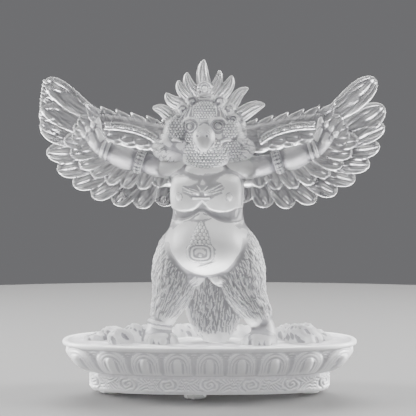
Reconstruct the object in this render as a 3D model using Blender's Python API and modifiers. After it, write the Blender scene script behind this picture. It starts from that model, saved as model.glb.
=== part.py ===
"""A small cast glass garuda with spread wings, standing between boulders on an oval lotus base.

The figure, the boulders and the base are one casting. Four soft pads are stuck under the base.
Z is up, the figure faces -Y, and the origin is on the table, under the middle of the base.
"""

import math

import bmesh
import bpy
import numpy as np
from mathutils import Matrix, Vector

# Driving dimensions, in metres. The ground's height is above the table, the figure's is above the ground
BASE_LENGTH = 0.1325
BASE_DEPTH = 0.066
GROUND_HEIGHT = 0.0236
FOOT_BAND_HEIGHT = 0.0080
FOOT_ROUNDING = 0.0018
NECK_GROOVE = 0.0006
LOTUS_OVERHANG = 0.0123
RIM_LEDGE_WIDTH = 0.0026
RIM_LEDGE_HEIGHT = 0.0008
RIM_BAND_HEIGHT = 0.0020
RIM_LIP = 0.0006
PETAL_COUNT = 19
PETAL_BULGE = 0.0021
FIGURE_HEIGHT = 0.126
PAD_DIAMETER = 0.010
PAD_HEIGHT = 0.002
PAD_GAP = 0.0003
PAD_INSET = 0.0008
PAD_END_INSET = 0.0042
PAD_STAGGER = 0.0063
OVAL_SQUARENESS = 2.5

# The figure stands turned a little on its base, and its axis lies beside the base's middle
FIGURE_TURN = math.radians(-4.5)
FIGURE_SHIFT = -0.0003
FIGURE_SINK = 0.0015

# How finely the figure is fused, softened and faceted
CLAY_VOXEL = 0.0008
CLAY_SOFTENING = 14
FIGURE_VOXEL = 0.0005
FIGURE_TRIANGLES = 5300
PETAL_COLUMNS = 6
HARD_EDGE = math.radians(45)

# The figure is modelled in units, counted up from the ground it stands on to the tip of its crown.
# Its head lies a little to one side of its axis, its face between, and its legs to the other side
UNITS_HIGH = 280
UNIT = FIGURE_HEIGHT / UNITS_HIGH
HEAD_X = -4.8
FACE_X = HEAD_X + 2.7
LEG_SHIFT = 2.6
SIDES = (-1, 1)


def clear_scene():
    for old in list(bpy.data.objects):
        bpy.data.objects.remove(old)


def material(name, colour, roughness, transmission):
    made = bpy.data.materials.new(name)
    made.use_nodes = True
    shader = made.node_tree.nodes["Principled BSDF"]
    shader.inputs["Base Color"].default_value = colour
    shader.inputs["Roughness"].default_value = roughness
    shader.inputs["Metallic"].default_value = 0.0
    shader.inputs["Transmission Weight"].default_value = transmission
    return made


# Shapes that the casting is put together from


def smooth(rows, steps=4):
    """Rows on a smooth curve through the given rows, with steps stretches between each two."""
    rows = np.array(rows, float)
    before = np.vstack([rows[:1], rows[:-1]])
    after = np.vstack([rows[1:], rows[-1:]])
    beyond = np.vstack([rows[2:], rows[-1:], rows[-1:]])
    found = []
    for i in range(len(rows) - 1):
        for t in np.arange(steps) / steps:
            found.append(
                rows[i]
                + (after[i] - before[i]) * t / 2
                + (2 * before[i] - 5 * rows[i] + 4 * after[i] - beyond[i]) * t**2 / 2
                + (3 * rows[i] - before[i] - 3 * after[i] + beyond[i]) * t**3 / 2
            )
    return np.vstack([found, rows[-1:]])


def round_off(angle, power):
    """Cosine and sine of an angle, squared off where power is over 2."""
    c, s = math.cos(angle), math.sin(angle)
    return math.copysign(abs(c) ** (2 / power), c), math.copysign(abs(s) ** (2 / power), s)


def skin(bm, rings):
    """One closed skin over rings of points, each with as many points as the next."""
    loops = [[bm.verts.new(point) for point in ring] for ring in rings]
    for low, high in zip(loops, loops[1:]):
        for i, corner in enumerate(low):
            j = (i + 1) % len(low)
            bm.faces.new((corner, low[j], high[j], high[i]))
    bm.faces.new(reversed(loops[0]))
    bm.faces.new(loops[-1])


def ball(bm, centre, radii, turn=(0, 0, 0)):
    """An egg: its centre, its three radii, and its turns about X, Y and Z in degrees."""
    place = Matrix.Translation(centre)
    for axis, angle in zip("XYZ", turn):
        place = place @ Matrix.Rotation(math.radians(angle), 4, axis)
    place = place @ Matrix.Diagonal((*radii, 1))
    bmesh.ops.create_uvsphere(bm, u_segments=24, v_segments=14, radius=1, matrix=place)


def lock(bm, path, across, halves, thicknesses, count=10, power=2):
    """A closed lock along a path. Its half-widths lie along across, its half-thicknesses square to that."""
    path = [Vector(p) for p in path]
    rings = []
    for i, point in enumerate(path):
        ahead = (path[min(i + 1, len(path) - 1)] - path[max(i - 1, 0)]).normalized()
        side = (across - ahead * across.dot(ahead)).normalized()
        face = ahead.cross(side)
        turns = [round_off(math.tau * k / count, power) for k in range(count)]
        rings.append([point + side * halves[i] * c + face * thicknesses[i] * s for c, s in turns])
    skin(bm, rings)


def limb(bm, sections, steps=4, count=14, across=(1, 0, 0), power=2):
    """A round limb. Each section holds x, y, z, half-width and half-depth."""
    rows = smooth(sections, steps)
    lock(bm, rows[:, :3], Vector(across), rows[:, 3], rows[:, 4], count, power)


# The lotus base


def foot_outline(columns):
    """Points and outward directions of the foot's oval, evenly spaced, starting at the front."""
    half_length = BASE_LENGTH / 2 - LOTUS_OVERHANG
    half_depth = BASE_DEPTH / 2 - LOTUS_OVERHANG
    count = 12 * columns
    turns = [round_off(math.tau * k / count - math.pi / 2, OVAL_SQUARENESS) for k in range(count)]
    fine = np.array([(half_length * c, half_depth * s) for c, s in turns])
    closed = np.vstack([fine, fine[:1]])
    length = np.concatenate([[0], np.cumsum(np.linalg.norm(np.diff(closed, axis=0), axis=1))])
    even = np.arange(count) * length[-1] / count
    points = np.column_stack([np.interp(even, length, closed[:, k]) for k in (0, 1)])
    ahead = np.roll(points, -4, axis=0) - np.roll(points, 4, axis=0)
    out = np.column_stack([ahead[:, 1], -ahead[:, 0]])
    out /= np.linalg.norm(out, axis=1)[:, None]
    return points[::12], out[::12]


def base_profile():
    """Overhang beyond the foot's wall, height, and share of the petals' height, from the underside up."""
    neck = PAD_HEIGHT + FOOT_BAND_HEIGHT
    rim_top = GROUND_HEIGHT + RIM_LEDGE_HEIGHT
    rim_foot = rim_top - RIM_BAND_HEIGHT
    rows = [(FOOT_ROUNDING * (math.sin(turn) - 1), PAD_HEIGHT + FOOT_ROUNDING * (1 - math.cos(turn)), 0)
            for turn in np.radians([0, 50, 90])]
    rows += [(0, neck - 2 * NECK_GROOVE, 0), (-NECK_GROOVE, neck, 0)]
    for up in (0.06, 0.26, 0.48, 0.7, 0.87, 0.97):
        swell = math.sin(math.pi / 2 * up) ** 0.62
        rows.append(((LOTUS_OVERHANG - RIM_LIP) * swell, neck + (rim_foot - neck) * up, up))
    ledge = LOTUS_OVERHANG - RIM_LEDGE_WIDTH
    rows += [(LOTUS_OVERHANG - RIM_LIP, rim_foot, 0), (LOTUS_OVERHANG, rim_foot + 0.3 * RIM_BAND_HEIGHT, 0)]
    rows += [(LOTUS_OVERHANG - RIM_LIP, rim_top, 0), (ledge, rim_top, 0)]
    rows.append((ledge - RIM_LEDGE_HEIGHT, GROUND_HEIGHT, 0))
    return rows


def petal_height(along, up):
    """How far the petals stand out at a place, in bulges.

    Along counts petals, up is a share of their height.
    """
    offset = abs((along + 0.5) % 1 - 0.5)
    half_width = 0.48 * math.sqrt(max(0.0, 1 - up**4))
    rounded = math.sqrt(max(0.0, 1 - (offset / max(half_width, 0.001)) ** 2)) * min(1, up / 0.12)
    boss = math.sqrt(max(0.0, 1 - (offset / 0.17) ** 2 - ((up - 0.5) / 0.26) ** 2))
    return rounded + 0.4 * boss


def lotus_base(bm):
    columns = PETAL_COUNT * PETAL_COLUMNS
    rings = []
    for overhang, height, up in base_profile():
        ring = []
        for k, (point, away) in enumerate(zip(*foot_outline(columns))):
            relief = PETAL_BULGE * (petal_height(k / PETAL_COLUMNS, up) - 1) if up else 0
            x, y = point + away * (overhang + relief)
            ring.append(Vector((x, y, height)))
        rings.append(ring)
    skin(bm, rings)
    sides = [face for face in bm.faces if len(face.verts) == 4]
    bmesh.ops.triangulate(bm, faces=sides, quad_method="SHORT_EDGE")


# The figure, in its own units


def torso(bm):
    """The trunk, with broad shoulders, a narrow waist and a round belly."""
    sections = [
        (-1, 4, 72, 14, 10), (-1, -2, 82, 38, 24), (-1, -2, 98, 42, 27), (-1, -1, 112, 38.5, 26),
        (-1, 0, 122, 36, 20), (-1, 0, 130, 35, 18.5), (-1, 0, 142, 36, 20), (-1, 0, 156, 36.5, 22),
        (-1, 1, 166, 33, 19), (-2, 1, 174, 22, 16), (-3, 0, 190, 17, 16),
    ]
    limb(bm, sections, 3, 24, power=2.5)
    ball(bm, (-1, -10, 97), (40, 36, 32))
    ball(bm, (-2, -12, 107), (35, 27, 20))
    for side in SIDES:
        ball(bm, (26 * side - 1, -9, 97), (17, 20, 21.5))
        ball(bm, (32 * side - 2, -5, 173), (19, 15, 11))


def breast(bm):
    """Two flat breast muscles with hard lower edges, and the belly's raised upper edge below a fold."""
    for side in SIDES:
        slab = [
            (17 * side - 1.5, -12, 167, 12, 8), (17.5 * side - 1.5, -15, 160, 16.5, 10.5),
            (18 * side - 1.5, -16, 151, 17.8, 12.5), (18.4 * side - 1.5, -16.5, 143, 17.6, 13.5),
            (19 * side - 1.5, -16.5, 137, 16, 13.4), (20.5 * side - 1.5, -15.5, 132.5, 13.5, 12.4),
            (21.5 * side - 1.5, -14.5, 130, 9, 9),
        ]
        limb(bm, slab, 3, 20, power=2.6)
        ball(bm, (25 * side - 2.5, -27.5, 144), (2.6, 2.6, 2.6))
        lip = [
            (-5, -29.5, 128, 3.4, 3.4), (7 * side - 5, -29.5, 125.5, 3, 3.2),
            (17 * side - 4, -26.5, 120.5, 2.8, 3), (26 * side - 3, -19, 118.5, 2.4, 2.6),
            (31 * side - 2, -11, 119.5, 1.6, 1.8),
        ]
        limb(bm, lip, 4, 8, (0, 1, 0))
    between = [
        (-1.5, -12, 168, 28, 8), (-1.5, -15, 160, 33, 10.3), (-1.5, -16, 151, 34, 12.2),
        (-1.5, -16.4, 144, 32, 12.9), (-1.5, -16, 139.5, 24, 12.2), (-1.5, -15, 136, 13, 10.5),
        (-1.5, -14.5, 133.5, 5, 8),
    ]
    below = [
        (-3, -12, 106, 33, 20), (-3.5, -12, 114, 31, 20.3), (-4, -12, 119, 26, 19.6),
        (-4.5, -12, 123, 17, 19), (-4.8, -12, 126.5, 8, 18), (-5, -12, 129, 3, 16.5),
    ]
    limb(bm, between, 3, 24, power=2.8)
    limb(bm, below, 2, 24)


def arms(bm):
    """Arms raised along the wings."""
    for side in SIDES:
        sections = [
            (18, 3, 168, 12, 13), (36, 0, 172, 11.5, 12.5), (54, -3, 175, 10.5, 11), (69, -4, 179, 9.5, 10),
            (84, -4, 182.5, 11.5, 11), (98, -3, 188, 9.5, 9.5), (107, -2, 192, 8, 8),
            (113, -2, 199, 8.5, 7.5), (118, -1, 206, 7.5, 6.5),
        ]
        limb(bm, [(side * x, y, z, w, d) for x, y, z, w, d in sections], 4, 14, (0, 0, 1))


def hands(bm):
    """A band on each upper arm, two rings at each wrist, and a hand that grips the wing."""
    for side in SIDES:
        bands = ((69, 179, 11.8, 4.2), (101, 189.5, 10, 1.6), (106, 191.5, 9.4, 1.6))
        for out, up, radius, half_width in bands:
            ahead = Vector((side * 0.95, 0, 0.31)).normalized()
            path = [Vector((side * out, -3.5, up)) + ahead * half_width * t for t in (-1, -0.8, 0.8, 1)]
            radii = [radius * share for share in (0.88, 1, 1, 0.88)]
            lock(bm, path, Vector((0, 0, 1)), radii, radii)
        for k in range(4):
            turn = math.radians(84 - 16 * k)
            start = Vector((side * (110 + 2.4 * k), -4, 209 - 3 * k))
            reach = Vector((side * math.cos(turn), 0.05, math.sin(turn)))
            path = [start, start + reach * 5, start + reach * 10, start + reach * 14 + Vector((0, 3, 0))]
            lock(bm, path, Vector((0, 1, 0)), [3.4, 3.3, 2.8, 1.6], [3.4, 3.3, 2.8, 1.6], 8)
        thumb = [(side * 108, -6, 197), (side * 108, -8, 205), (side * 112, -8, 212)]
        lock(bm, thumb, Vector((0, 1, 0)), [3.2, 3.2, 1.8], [3.2, 3.2, 1.8], 8)


def stance(height):
    """How far the legs are shifted to one side at a height. The hips aren't."""
    return LEG_SHIFT * min(1, max(0, (60 - height) / 36))


def legs(bm):
    """Thighs in shaggy down, bare ankles and broad feet."""
    for side in SIDES:
        thigh = [
            (24, 0, 110, 15, 20), (29.3, -2, 92, 20.8, 24), (34.7, -4, 72, 21.6, 23),
            (36.2, -6, 52, 20.6, 20.5), (43.5, -7, 34, 15.8, 17), (47.5, -8, 24, 13.4, 14.5),
            (49.5, -8, 19, 12, 13),
        ]
        ankle = [
            (48, -8, 28, 9.5, 10), (51.6, -9, 16, 11.8, 12), (53.2, -10, 8, 12.4, 12.5),
            (53.6, -11, -4, 13.5, 14),
        ]
        limb(bm, [(side * x + stance(z), y, z, w, d) for x, y, z, w, d in thigh], 4, 16)
        limb(bm, [(side * x + stance(z), y, z, w, d) for x, y, z, w, d in ankle], 3, 14)
        ball(bm, (side * 49.5 + LEG_SHIFT, -14, 2), (17.5, 20, 9))


def hems(bm):
    """A ring round the left ankle, and pointed locks of down that hang round the right one."""
    cuff = [(-47.9, -8.5, 18, 11.6, 12.4), (-48.2, -8.7, 15.5, 12.8, 13.6), (-48.5, -8.9, 13, 11.6, 12.4)]
    limb(bm, cuff, 2, 14)
    for k in range(7):
        turn = math.radians(-126 + 42 * k)
        outward = Vector((math.sin(turn), -math.cos(turn), 0))
        root = Vector((45.5, -7.5, 35)) + outward * 12
        tip = Vector((50, -8, 23 + 2.5 * (k % 2))) + outward * 12.6
        path = [root.lerp(tip, t) for t in (0, 0.4, 0.75, 1)]
        around = Vector((math.cos(turn), math.sin(turn), 0))
        lock(bm, path, around, [4.6, 4.4, 2.6, 0.5], [3, 2.6, 1.6, 0.5], 8)


def toes(bm):
    """Three low toes on each foot, turned inward, and a spur behind."""
    for side in SIDES:
        for spread in (-1, 0, 1):
            root = Vector((side * 47.5 + LEG_SHIFT + 7 * spread, -16, 3))
            reach = Vector((0.3 * spread - 0.12 * side, -1 + 0.1 * abs(spread), 0))
            toe = [
                root, root + reach * 9 + Vector((0, 0, 0.5)), root + reach * 15 + Vector((0, 0, -1.5)),
                root + reach * 20 + Vector((0, 0, -6)),
            ]
            lock(bm, toe, Vector((1, 0, 0)), [5.6, 5.2, 4.4, 1.6], [5.4, 5, 4.2, 1.6], 10)
        heel = side * 53 + LEG_SHIFT
        spur = [(heel, 0, 6), (heel + 0.5 * side, 9, 4), (heel + side, 16, -2)]
        lock(bm, spur, Vector((1, 0, 0)), [6, 4.6, 1.8], [6, 4.6, 1.8], 8)


def tail(bm):
    """A broad tail between the legs, which rests on the ground."""
    sections = [
        (2, 16, 80, 10, 8), (3.5, 15, 68, 13, 8.5), (4.5, 12, 56, 19.5, 9), (5, 8, 45, 26, 9.5),
        (5, 4, 34, 28.5, 10), (6, 0, 23, 26.5, 9.5), (7, -3, 11, 20.5, 8.5), (7.5, -5, 3, 14, 7.5),
        (7.5, -5, -4, 12, 7),
    ]
    limb(bm, sections, 3, 18, power=2.2)


def head(bm):
    """The head's masses: skull, brow, cheeks, jowls, throat and the ruff behind them."""
    ball(bm, (HEAD_X, -9, 214), (27, 24, 28))
    ball(bm, (HEAD_X + 1, 0, 208), (42, 15, 34))
    ball(bm, (FACE_X, -20, 230), (15, 12, 10.5))
    ball(bm, (-3, -20, 172), (19, 9, 8))
    for side in SIDES:
        ball(bm, (HEAD_X + 26 * side, -17, 209), (13, 14, 14), (0, 0, 14 * side))
        ball(bm, (HEAD_X + 29 * side, -15, 200), (14, 14, 12))
        ball(bm, (HEAD_X + 18 * side, -20, 200), (13, 12, 12))
        ball(bm, (HEAD_X + 33 * side, -10, 190), (19, 15, 13), (0, -12 * side, 12 * side))


def face(bm):
    """Round eyes under fine brows, a broad hooked beak, and a scaly throat that ends in a hard edge."""
    for side in SIDES:
        ball(bm, (FACE_X + 13.6 * side, -31.5, 213.5), (5.6, 6.4, 5.2))
        brow = [
            (FACE_X + 4 * side, -36, 217, 1.8, 1.8), (FACE_X + 11 * side, -36.5, 221, 2.2, 2.2),
            (FACE_X + 18 * side, -33, 220.5, 2.2, 2.2), (FACE_X + 23 * side, -27, 214, 1.4, 1.4),
        ]
        limb(bm, brow, 3, 8)
    beak = [
        (1, -31, 215, 1.6, 2), (1, -35.5, 212, 4.6, 4.6), (1, -40.5, 208, 8, 7.4), (1, -45, 204, 10.8, 9),
        (1, -48, 200, 10.2, 8.6), (1, -50, 196, 8.2, 7), (1, -51, 192, 5.6, 5.2), (1, -50.5, 188.5, 2.4, 2.6),
    ]
    lower = [(0, -26, 196, 11, 5), (0, -38, 193.5, 9, 4.4), (0, -47, 190.5, 4, 2.6)]
    bib = [
        (0, -24, 199, 14, 11), (0.5, -25, 192, 18, 13.5), (1, -24.5, 185, 21.5, 14),
        (1, -23.5, 180, 22.5, 13), (1, -22.5, 177, 19, 10), (1, -21.5, 175, 9, 6),
    ]
    for sections, count in ((beak, 14), (lower, 10), (bib, 16)):
        limb(bm, [(FACE_X + x, y, z, w, d) for x, y, z, w, d in sections], 3, count, power=2.2)


def flame(bm, root, tip, lean, half_width, half_thickness):
    """One leaf-shaped lock of the crown, from its root to its tip, bowed sideways by lean."""
    root, tip = Vector(root), Vector(tip)
    ahead = (tip - root).normalized()
    across = Vector((ahead.z, 0, -ahead.x))
    shares = [0, 0.2, 0.4, 0.58, 0.73, 0.85, 0.93, 0.98, 1]
    path = [root.lerp(tip, t) + across * lean * math.sin(math.tau * t) for t in shares]
    body = [0.85, 0.92, 1, 0.96, 0.84, 0.65, 0.44, 0.24, 0.07]
    lock(bm, path, across, [half_width * s for s in body], [half_thickness * max(0.25, s) for s in body], 10)


def crown(bm):
    """Nine flames round the face, smaller ones between and behind them, and a jewelled band."""
    middle = Vector((HEAD_X, -2, 212))
    flames = [
        (0, 68.4, 7.2, 1.4), (-16.8, 58.3, 6.2, 2), (14.9, 60, 5.6, -1.8), (-28, 54.5, 6.2, 1.8),
        (28, 59.5, 7, -1.8), (-46.9, 52.1, 6.6, 1.8), (47.9, 59.8, 6, 2), (-68.2, 55.7, 6.6, -1.8),
        (68.9, 65.3, 7.6, 1.6),
    ]
    for angle, reach, half_width, lean in flames:
        turn = math.radians(angle)
        ahead = Vector((math.sin(turn), 0, math.cos(turn)))
        flame(bm, middle + ahead * 18, middle + ahead * reach, lean, half_width, 5)
    for place in (-3.5, -2.5, -1.5, -0.5, 0.5, 1.5, 2.5, 3.5):
        turn = math.radians(17.6 * place)
        ahead = Vector((math.sin(turn), 0.3, math.cos(turn)))
        root, tip = middle + Vector((0, 8, 0)) + ahead * 12, middle + Vector((0, 6, 0)) + ahead * 41
        flame(bm, root, tip, 1, 6.5, 4.6)
    for row in range(3):
        for place in (-2, -1, 0, 1, 2):
            shift = 0.5 * (row % 2)
            foot = Vector((HEAD_X + 11 * (place + shift), 14 - 1.2 * abs(place), 228 - 14 * row))
            flame(bm, foot, foot + Vector((2.5 * (place + shift), 5, -22)), 0, 6.5, 4)
    ball(bm, (FACE_X, -17, 242), (9, 9, 5))
    ball(bm, (FACE_X - 1, -12, 251), (5.4, 7, 5.6))
    for side in SIDES:
        for out, up, half in ((12.8, 237, 6.3), (22.5, 230, 5.6), (26.5, 219.5, 5.4)):
            ball(bm, (FACE_X + 1 + side * out, -22 + 0.1 * out, up), (half, 4.5, half))


FEATHER_HALF_THICKNESS = 1.9
TAPER_POWER = 1.4


def wing_depth(out):
    """How far back the wing lies, at a distance out from the figure's middle."""
    return 7 + 11 * (out / 175) ** 2


def feather(bm, side, tip, direction, length, half_width, bend=0, tilt=0, lift=0, pointed=False):
    """A round-ended or pointed feather in the wing's plane.

    Tilt turns its lower edge forward, lift moves it back.
    """
    end_turn, root_turn = math.radians(direction + bend), math.radians(direction - bend)
    knee = np.array(tip) - length / 2 * np.array((math.cos(end_turn), math.sin(end_turn)))
    root = knee - length / 2 * np.array((math.cos(root_turn), math.sin(root_turn)))
    shares = np.array([0, 0.18, 0.36, 0.54, 0.7, 0.82, 0.91, 0.965, 0.992, 1])
    path = [(1 - t) ** 2 * root + 2 * t * (1 - t) * knee + t**2 * np.array(tip) for t in shares]
    path = [Vector((side * out, wing_depth(out) + lift, up)) for out, up in path]
    turn, roll = math.radians(direction), math.radians(tilt)
    down = Vector((side * math.sin(turn), 0, -math.cos(turn)))
    across = down * math.cos(roll) + Vector((0, -1, 0)) * math.sin(roll)
    blunt = [math.sqrt(max(0.004, 1 - max(0, (t - 0.66) / 0.34) ** 2)) for t in shares]
    if pointed:
        blunt = [max(0.12, 1 - max(0, (t - 0.4) / 0.6) ** TAPER_POWER) for t in shares]
    halves = [half_width * (0.6 + 0.4 * min(1, t / 0.5)) * end for t, end in zip(shares, blunt)]
    lock(bm, path, across, halves, [FEATHER_HALF_THICKNESS] * len(path), 10, 3)


def fan(side):
    """A wing's long feathers: place on the fan's arc in degrees, reach, half-width and direction of each."""
    if side < 0:
        broad = [
            (27, 1.03, 11, 37), (20.5, 1, 13, 34), (14, 1, 15, 31), (6, 0.995, 15, 24), (-2, 0.985, 16, 17),
        ]
        return broad + [(-22 - 13.2 * k, 1, 12, -1 - 11.6 * k) for k in range(7)]
    return [(27, 1.01, 13, 40), (8, 1, 14, 33)] + [(-5 - 13 * k, 1, 11.5, 17 - 12.2 * k) for k in range(9)]


def wings(bm):
    """Two spread wings: a plate behind each arm, a fan of long feathers, and rows of short ones."""
    for side in SIDES:
        plate = [
            (18, 182, 26, 5.5), (40, 184, 30, 5.5), (66, 194, 26, 5), (96, 204, 21, 4.6), (118, 211, 17, 3.8),
            (132, 217, 12, 3),
        ]
        rows = smooth(plate, 3)
        path = [Vector((side * out, wing_depth(out), up)) for out, up in rows[:, :2]]
        lock(bm, path, Vector((0, 0, 1)), rows[:, 2], rows[:, 3], 12, 3)
        for index, (place, reach, half_width, direction) in enumerate(fan(side)):
            turn = math.radians(place)
            tip = (70 + 105.5 * reach * math.cos(turn), 222 + 89 * reach * math.sin(turn))
            bend = 9 if place > 20 else 3
            length = 66 - 0.0023 * (27 - place) ** 2
            feather(bm, side, tip, direction, length, half_width, bend, 11, 1.4 * (index % 2))
        for k in range(8):
            turn = math.radians(-12 - 13 * k)
            tip = (70 + 80 * math.cos(turn), 214 + 62 * math.sin(turn))
            direction = 14 + 0.9 * math.degrees(turn)
            for lift in (-2.8, 3):
                feather(bm, side, tip, direction, 36 - 1.2 * k, 8.5, 3, 8 if lift < 0 else -8, lift)
        for k in range(6):
            tip = (48 + 15.6 * k, 222 + 3.2 * k)
            feather(bm, side, tip, 50, 28, 7.5, 0, 0, -2.4 - 0.5 * k, pointed=True)
        for k in range(5):
            feather(bm, side, (50 + 15 * k, 206 + 2.6 * k), 6, 26, 9, 0, 6, -4.6)
            feather(bm, side, (48 + 15 * k, 196 + 2.6 * k), -14, 28, 9.5, 0, -6, 4.2)
        for k in range(4):
            turn = math.radians(44 - 24 * k)
            tip = (112 + 28 * math.cos(turn), 206 + 26 * math.sin(turn))
            for lift in (-3.4, 3.4):
                feather(bm, side, tip, math.degrees(turn), 26, 8, 3, 6 if lift < 0 else -6, lift)


def boulders(bm):
    """Low worn boulders beside and behind the feet, placed and sized by the ground inside the base's rim."""
    reach = BASE_LENGTH / 2 - RIM_LEDGE_WIDTH
    across = BASE_DEPTH / 2 - RIM_LEDGE_WIDTH
    stones = [
        (-0.62, -0.30, 13, 11, 15), (-0.54, 0.05, 18, 14, 16), (-0.70, 0.24, 17, 14, 12),
        (-0.82, 0.06, 12, 11, 8), (-0.47, 0.50, 19, 12, 12), (0.66, -0.10, 20, 16, 19),
        (0.58, 0.30, 18, 14, 14), (0.78, 0.10, 14, 13, 10), (0.44, 0.54, 17, 11, 11),
        (-0.19, 0.52, 15, 11, 13), (0.25, 0.48, 14, 11, 12), (0.03, 0.62, 22, 10, 10),
    ]
    for along, back, half_length, half_depth, height in stones:
        centre = (reach / UNIT * along, across / UNIT * back, -1)
        ball(bm, centre, (half_length, half_depth, height), (0, 12 * math.copysign(1, along), 0))


# Casting


def mesh_object(name, bm, collection):
    mesh = bpy.data.meshes.new(name)
    bm.to_mesh(mesh)
    bm.free()
    made = bpy.data.objects.new(name, mesh)
    collection.objects.link(made)
    return made


def shade(mesh):
    """Shades a mesh smooth, apart from its hard edges."""
    mesh.shade_smooth()
    mesh.set_sharp_from_angle(angle=HARD_EDGE)


def evaluated_mesh(obj):
    graph = bpy.context.evaluated_depsgraph_get()
    return bpy.data.meshes.new_from_object(obj.evaluated_get(graph))


def fuse(obj, voxel, softening):
    """Makes one skin of all the shapes in an object, with its creases worked round."""
    remesh = obj.modifiers.new("fuse", "REMESH")
    remesh.mode = "VOXEL"
    remesh.voxel_size = voxel
    soften = obj.modifiers.new("soften", "SMOOTH")
    soften.factor = 0.5
    soften.iterations = softening
    mesh = evaluated_mesh(obj)
    obj.modifiers.clear()
    obj.data = mesh


def place_figure(bm, turned=True):
    """Turns the figure's units into metres and stands it on the base."""
    place = Matrix.Translation((FIGURE_SHIFT if turned else 0, 0, GROUND_HEIGHT)) @ Matrix.Scale(UNIT, 4)
    if turned:
        place = place @ Matrix.Rotation(FIGURE_TURN, 4, "Z")
    bmesh.ops.transform(bm, matrix=place, verts=bm.verts)


def figure(collection):
    """The garuda and the boulders as one faceted body, with its underside cut flat below the ground."""
    bm = bmesh.new()
    for make in (torso, arms, legs, tail, head):
        make(bm)
    place_figure(bm)
    clay = mesh_object("clay", bm, collection)
    fuse(clay, CLAY_VOXEL, CLAY_SOFTENING)
    bm = bmesh.new()
    for make in (breast, hands, hems, toes, face, crown, wings):
        make(bm)
    place_figure(bm)
    bm.from_mesh(clay.data)
    bpy.data.objects.remove(clay)
    stones = bmesh.new()
    boulders(stones)
    place_figure(stones, turned=False)
    piled = bpy.data.meshes.new("boulders")
    stones.to_mesh(piled)
    stones.free()
    bm.from_mesh(piled)
    body = mesh_object("figure", bm, collection)
    fuse(body, FIGURE_VOXEL, 1)
    cut_flat(body, GROUND_HEIGHT - FIGURE_SINK)
    facet = body.modifiers.new("facet", "DECIMATE")
    facet.ratio = FIGURE_TRIANGLES / (2 * len(body.data.polygons))
    body.data = evaluated_mesh(body)
    body.modifiers.clear()
    shade(body.data)
    return body


def cut_flat(body, height):
    """Cuts away what lies below a height."""
    bm = bmesh.new()
    bm.from_mesh(body.data)
    cut = bmesh.ops.bisect_plane(bm, geom=bm.verts[:] + bm.edges[:] + bm.faces[:], plane_co=(0, 0, height),
                                 plane_no=(0, 0, -1), clear_outer=True)
    bmesh.ops.holes_fill(bm, edges=[e for e in cut["geom_cut"] if isinstance(e, bmesh.types.BMEdge)])
    bm.to_mesh(body.data)
    bm.free()


def casting(collection, cutters, glass):
    """The lotus base, with the figure fused to it."""
    bm = bmesh.new()
    lotus_base(bm)
    statue = mesh_object("garuda_statue", bm, collection)
    body = figure(cutters)
    body.hide_render = True
    body.display_type = "WIRE"
    join = statue.modifiers.new("figure", "BOOLEAN")
    join.operation = "UNION"
    join.solver = "EXACT"
    join.object = body
    statue.data.materials.append(glass)
    shade(statue.data)


def pads(collection, silicone):
    """Four clear pads under the foot: one in front, one behind, and one near each end."""
    half_length = BASE_LENGTH / 2 - LOTUS_OVERHANG
    half_depth = BASE_DEPTH / 2 - LOTUS_OVERHANG
    radius = PAD_DIAMETER / 2
    height = PAD_HEIGHT - PAD_GAP
    edge = half_depth - PAD_INSET - radius
    end = half_length - PAD_END_INSET - radius
    places = {"pad_front": (-PAD_STAGGER, -edge), "pad_back": (PAD_STAGGER, edge)}
    places |= {"pad_left": (-end, 0), "pad_right": (end, 0)}
    for name, (x, y) in places.items():
        bm = bmesh.new()
        bmesh.ops.create_cone(bm, cap_ends=True, segments=24, radius1=radius, radius2=0.9 * radius,
                              depth=height, matrix=Matrix.Translation((x, y, height / 2)))
        pad = mesh_object(name, bm, collection)
        pad.data.materials.append(silicone)
        shade(pad.data)


def main():
    clear_scene()
    collection = bpy.data.collections.new("garuda")
    cutters = bpy.data.collections.new("joined_shapes")
    for made in (collection, cutters):
        bpy.context.scene.collection.children.link(made)
    glass = material("frosted_glass", (0.86, 0.84, 0.87, 1), 0.3, 0.85)
    silicone = material("clear_silicone", (0.86, 0.83, 0.72, 1), 0.35, 0.3)
    casting(collection, cutters, glass)
    pads(collection, silicone)


main()
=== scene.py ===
"""A small cast glass garuda with spread wings, standing between boulders on an oval lotus base."""

import math

import bmesh
import bpy
import numpy as np
from mathutils import Matrix, Vector


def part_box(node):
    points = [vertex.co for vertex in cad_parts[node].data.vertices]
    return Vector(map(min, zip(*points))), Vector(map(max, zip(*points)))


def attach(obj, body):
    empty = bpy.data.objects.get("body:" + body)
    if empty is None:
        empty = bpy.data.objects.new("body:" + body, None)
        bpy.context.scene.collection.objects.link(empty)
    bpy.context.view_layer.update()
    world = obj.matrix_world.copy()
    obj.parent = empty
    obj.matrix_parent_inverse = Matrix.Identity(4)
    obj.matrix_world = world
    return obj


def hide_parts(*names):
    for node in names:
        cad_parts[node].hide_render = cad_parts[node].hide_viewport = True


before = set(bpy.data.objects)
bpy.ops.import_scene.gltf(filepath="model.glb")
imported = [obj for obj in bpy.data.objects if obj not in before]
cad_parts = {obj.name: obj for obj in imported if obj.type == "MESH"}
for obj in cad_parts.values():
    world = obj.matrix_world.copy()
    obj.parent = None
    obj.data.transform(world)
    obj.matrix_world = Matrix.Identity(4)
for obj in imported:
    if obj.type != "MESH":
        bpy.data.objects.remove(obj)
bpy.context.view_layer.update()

# Camera, in metres and degrees.
# It stands straight in front of the base, as high as the figure's shoulders, and looks slightly down.
CAMERA_PLACE = (-0.0007, -0.600, 0.1042)
CAMERA_PITCH = 88
CAMERA_LENS = 115.36

camera = bpy.data.objects.new("camera", bpy.data.cameras.new("camera"))
camera.data.lens = CAMERA_LENS
camera.location = CAMERA_PLACE
camera.rotation_euler = (math.radians(CAMERA_PITCH), 0, 0)
bpy.context.collection.objects.link(camera)
bpy.context.scene.camera = camera

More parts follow.
